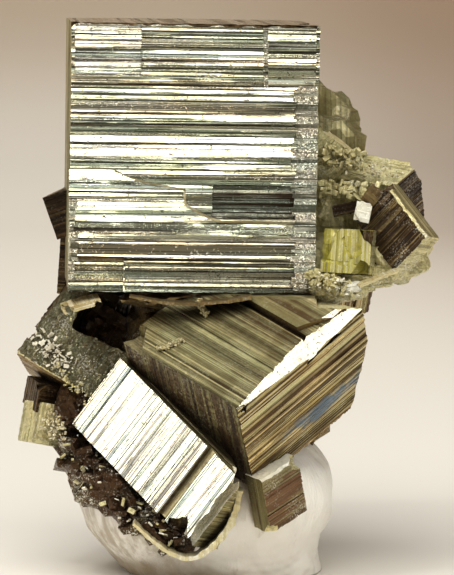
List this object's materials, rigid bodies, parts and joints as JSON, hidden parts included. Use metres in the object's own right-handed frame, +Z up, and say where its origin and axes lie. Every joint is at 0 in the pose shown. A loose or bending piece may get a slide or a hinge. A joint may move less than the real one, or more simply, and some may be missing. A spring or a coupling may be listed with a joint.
{
  "type": "pyrite mineral specimen",
  "caption": "Cluster of intergrown striated pyrite cubes with a rough massive core, held upright by a slumped lump of mineral putty with a flat underside.",
  "frame": {"origin": "middle of the underside of the whole object's box, on the surface that the putty rests on", "axes": "+Z up, +X to the right and +Y away as seen from the front, which is the striated face of the big cube"},
  "size_m": [0.0524, 0.0462, 0.0696],
  "materials": {
    "pyrite": "metallic, pale brass yellow, striated faces, tarnished brown in the hollows",
    "putty": "matte off-white mineral tack, finger-pressed"
  },
  "bodies": {
    "root": {"pyrite_cluster": "pyrite", "putty_base": "putty"}
  },
  "joints": []
}
